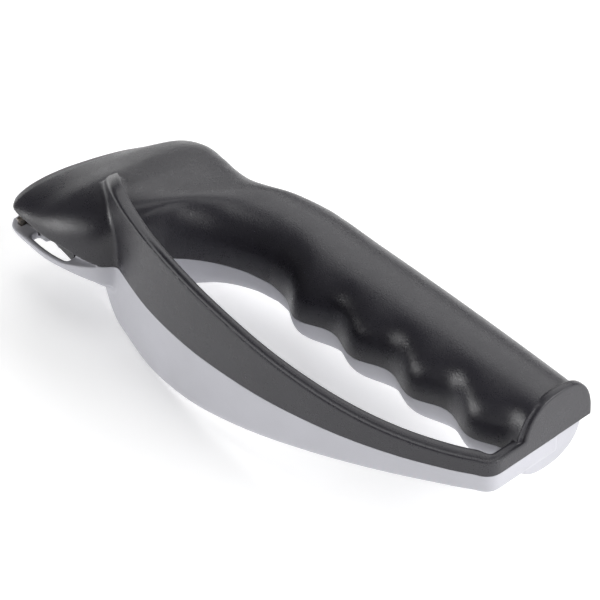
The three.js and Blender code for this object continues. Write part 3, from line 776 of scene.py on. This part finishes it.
def shell_piece(name, side, material):
    low_z, high_z = (-FIELD_MARGIN, FIELD_DEPTH) if side > 0 else (-FIELD_DEPTH, FIELD_MARGIN)
    grid = Grid((*FIELD_LOW, low_z), (*FIELD_HIGH, high_z))
    points, quads = grid.surface(outside_field(grid, side))
    piece = new_piece(name, points, quads, material)
    thin = piece.modifiers.new("thin", "DECIMATE")
    thin.ratio = KEEP_FACES
    apply_modifiers(piece)
    z0, z1 = (PARTING_GAP / 2, FAR) if side > 0 else (-FAR, -PARTING_GAP / 2)
    combine(piece, box_piece("half", (-FAR * 2, -FAR, z0), (FAR * 2, FAR, z1), material), "INTERSECT")
    combine(piece, hollow_piece(side, material), "DIFFERENCE")
    low, high = CARRIER_LOW - CARRIER_FIT, CARRIER_HIGH + CARRIER_FIT
    combine(piece, box_piece("pocket", low, high, material), "DIFFERENCE")
    for plate in (1, -1):
        combine(piece, turned_box("plate_room", plate, PLATE_FIT, material), "DIFFERENCE")
    return piece


def drop_wall():
    """Wall that hangs from the dark shell behind the tail of the window."""
    outline = [(SLOT_RAMP_X - back, -depth) for back, depth in DROP_PROFILE]
    count = len(outline)
    points = [(x, SLOT_BACK_Y + y, z) for y in (DROP_GAP, DROP_WALL) for x, z in outline]
    faces = [tuple(range(count))[::-1], tuple(range(count, 2 * count))]
    faces += [(i, (i + 1) % count, (i + 1) % count + count, i + count) for i in range(count)]
    return new_piece("drop_wall", points, faces, CHARCOAL)


def upper_shell():
    piece = shell_piece("upper_moulding", 1, CHARCOAL)
    combine(piece, drop_wall(), "UNION")
    for x, y in SHELL_SCREWS:
        hole = rod(SCREW_SHANK_R + THREAD_FIT, x, y, -1, SCREW_SEAT_Z + SCREW_LENGTH + 1, CHARCOAL)
        combine(piece, hole, "DIFFERENCE")
    smooth_shade(piece, SHELL_SHARP)
    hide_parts("upper_shell")
    return piece


def screw_bore(x, y, shank, head, seat):
    """Bore for a screw from below: a shank hole, then a counterbore out through the light side."""
    profile = [(0, 1), (shank, 1), (shank, seat), (head, seat), (head, -FAR), (0, -FAR)]
    return lathe_piece("bore", profile[::-1], (x, y, 0), LIGHT_GREY)


def lower_shell():
    piece = shell_piece("lower_moulding", -1, LIGHT_GREY)
    for x, y in SHELL_SCREWS:
        bore = screw_bore(x, y, SCREW_SHANK_R + SCREW_FIT, SCREW_HEAD_R + SCREW_FIT, SCREW_SEAT_Z)
        combine(piece, bore, "DIFFERENCE")
    bore = screw_bore(*CARRIER_SCREW, SMALL_SHANK_R + SCREW_FIT, SMALL_HEAD_R + SCREW_FIT, SMALL_SEAT_Z)
    combine(piece, bore, "DIFFERENCE")
    smooth_shade(piece, SHELL_SHARP)
    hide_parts("lower_shell")
    return piece


# ---- the cutter ----

def bevel(piece, width, segments=3):
    modifier = piece.modifiers.new("bevel", "BEVEL")
    modifier.width = width / 1000
    modifier.segments = segments
    modifier.limit_method = "ANGLE"
    apply_modifiers(piece)


def carbide_plate(side, name):
    piece = turned_box(name + "_ground", side, 0, CARBIDE)
    bevel(piece, PLATE_BEVEL)
    smooth_shade(piece, PART_SHARP)
    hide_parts(name)
    return piece


def cutter_carrier():
    piece = box_piece("cutter_block", CARRIER_LOW, CARRIER_HIGH, BLACK)
    bevel(piece, BOX_BEVEL)
    for side in (1, -1):
        combine(piece, turned_box("plate_seat", side, PLATE_GRIP, BLACK), "DIFFERENCE")
    combine(piece, rod(SMALL_SHANK_R + THREAD_FIT, *CARRIER_SCREW, -FAR, FAR, BLACK), "DIFFERENCE")
    smooth_shade(piece, PART_SHARP)
    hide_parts("cutter_carrier")
    return piece


# ---- screws ----

def screw(name, x, y, seat_z, head_r, head_height, shank_r, length):
    """A pan-head screw with a cross recess, driven upwards from its seat."""
    angles = np.linspace(0, HEAD_ARC, 9)
    dome = [(head_r * math.cos(a), -head_height * (HEAD_RIM + (1 - HEAD_RIM) * math.sin(a))) for a in angles]
    shank = [(shank_r, 0.0)]
    z = THREAD_START
    while z < length - 3 * shank_r:
        shank += [(shank_r * THREAD_ROOT, z), (shank_r, z + THREAD_PITCH / 2)]
        z += THREAD_PITCH
    tip = [(shank_r * THREAD_ROOT, z), (shank_r * 0.35, length - shank_r * 0.7)]
    profile = [(0, -head_height), *dome[::-1], (head_r, 0), *shank, *tip, (0, length)]
    piece = lathe_piece(name + "_detailed", profile, (x, y, seat_z), STEEL, 40)
    arm, reach, depth = head_r * CROSS_ARM, head_r * CROSS_REACH, head_height * CROSS_DEPTH
    for long_x, long_y in ((reach, arm), (arm, reach)):
        low = (x - long_x, y - long_y, seat_z - head_height - 1)
        high = (x + long_x, y + long_y, seat_z - head_height + depth)
        combine(piece, box_piece("recess", low, high, STEEL), "DIFFERENCE")
    smooth_shade(piece, PART_SHARP)
    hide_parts(name)
    return piece


def screws():
    made = []
    for i, (x, y) in enumerate(SHELL_SCREWS):
        sizes = (SCREW_HEAD_R, SCREW_HEAD_HEIGHT, SCREW_SHANK_R, SCREW_LENGTH)
        made.append(screw(f"shell_screw_{i + 1}", x, y, SCREW_SEAT_Z - SCREW_FIT, *sizes))
    sizes = (SMALL_HEAD_R, SMALL_HEAD_HEIGHT, SMALL_SHANK_R, SMALL_LENGTH)
    made.append(screw("carrier_screw", *CARRIER_SCREW, SMALL_SEAT_Z - SCREW_FIT, *sizes))
    return made


# ---- floor, lights and camera ----

def floor():
    bpy.ops.mesh.primitive_plane_add(size=FLOOR_SIZE, location=(0, 0, cad_box[0][2] - FLOOR_GAP))
    plane = bpy.context.object
    plane.name = "floor"
    material, tree, shader, at = new_material("floor")
    tint = ramp(tree, noise(tree, at, 8, 2), [(0.3, (0.93, 0.93, 0.93)), (0.7, (0.95, 0.95, 0.95))])
    tree.links.new(tint, shader.inputs["Base Color"])
    shader.inputs["Roughness"].default_value = 0.9
    shader.inputs["Specular IOR Level"].default_value = 0.1
    shader.inputs["Emission Color"].default_value = (1, 1, 1, 1)
    shader.inputs["Emission Strength"].default_value = FLOOR_GLOW
    plane.data.materials.append(material)


def softbox(name, azimuth, elevation, distance, width, height, radiance):
    """A rectangular soft light that faces the object; radiance is its brightness as the eye sees it."""
    a, e = math.radians(azimuth), math.radians(elevation)
    away = Vector((math.cos(a) * math.cos(e), math.sin(a) * math.cos(e), math.sin(e)))
    light = bpy.data.lights.new(name, "AREA")
    light.shape = "RECTANGLE"
    light.size, light.size_y = width, height
    light.energy = radiance * width * height * math.pi
    holder = bpy.data.objects.new(name, light)
    holder.location = LIGHT_AIM + away * distance
    holder.rotation_euler = away.to_track_quat("Z", "Y").to_euler()
    bpy.context.scene.collection.objects.link(holder)


def lights():
    world = bpy.data.worlds.new("studio")
    bpy.context.scene.world = world
    world.use_nodes = True
    background = world.node_tree.nodes["Background"]
    background.inputs["Color"].default_value = (1, 1, 1, 1)
    background.inputs["Strength"].default_value = STUDIO_AIR
    for light in SOFTBOXES:
        softbox(*light)


def camera():
    a, e = CAMERA_AZIMUTH, CAMERA_ELEVATION
    back = Vector((math.sin(a) * math.cos(e), -math.cos(a) * math.cos(e), math.sin(e)))
    data = bpy.data.cameras.new("camera")
    data.lens = CAMERA_LENS
    data.sensor_width = CAMERA_SENSOR
    data.clip_start = 0.05
    holder = bpy.data.objects.new("camera", data)
    holder.location = Vector(place((0, 0, 0))) + back * CAMERA_DISTANCE
    holder.rotation_euler = back.to_track_quat("Z", "Y").to_euler()
    bpy.context.scene.collection.objects.link(holder)
    bpy.context.scene.camera = holder


camera()
lights()
floor()
pieces = [upper_shell(), lower_shell(), cutter_carrier()]
pieces += [carbide_plate(1, "carbide_plate_upper"), carbide_plate(-1, "carbide_plate_lower")]
pieces += screws()
for piece in pieces:
    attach(piece, "root")

scene = bpy.context.scene
scene.view_settings.view_transform = "Standard"

bpy.context.view_layer.update()
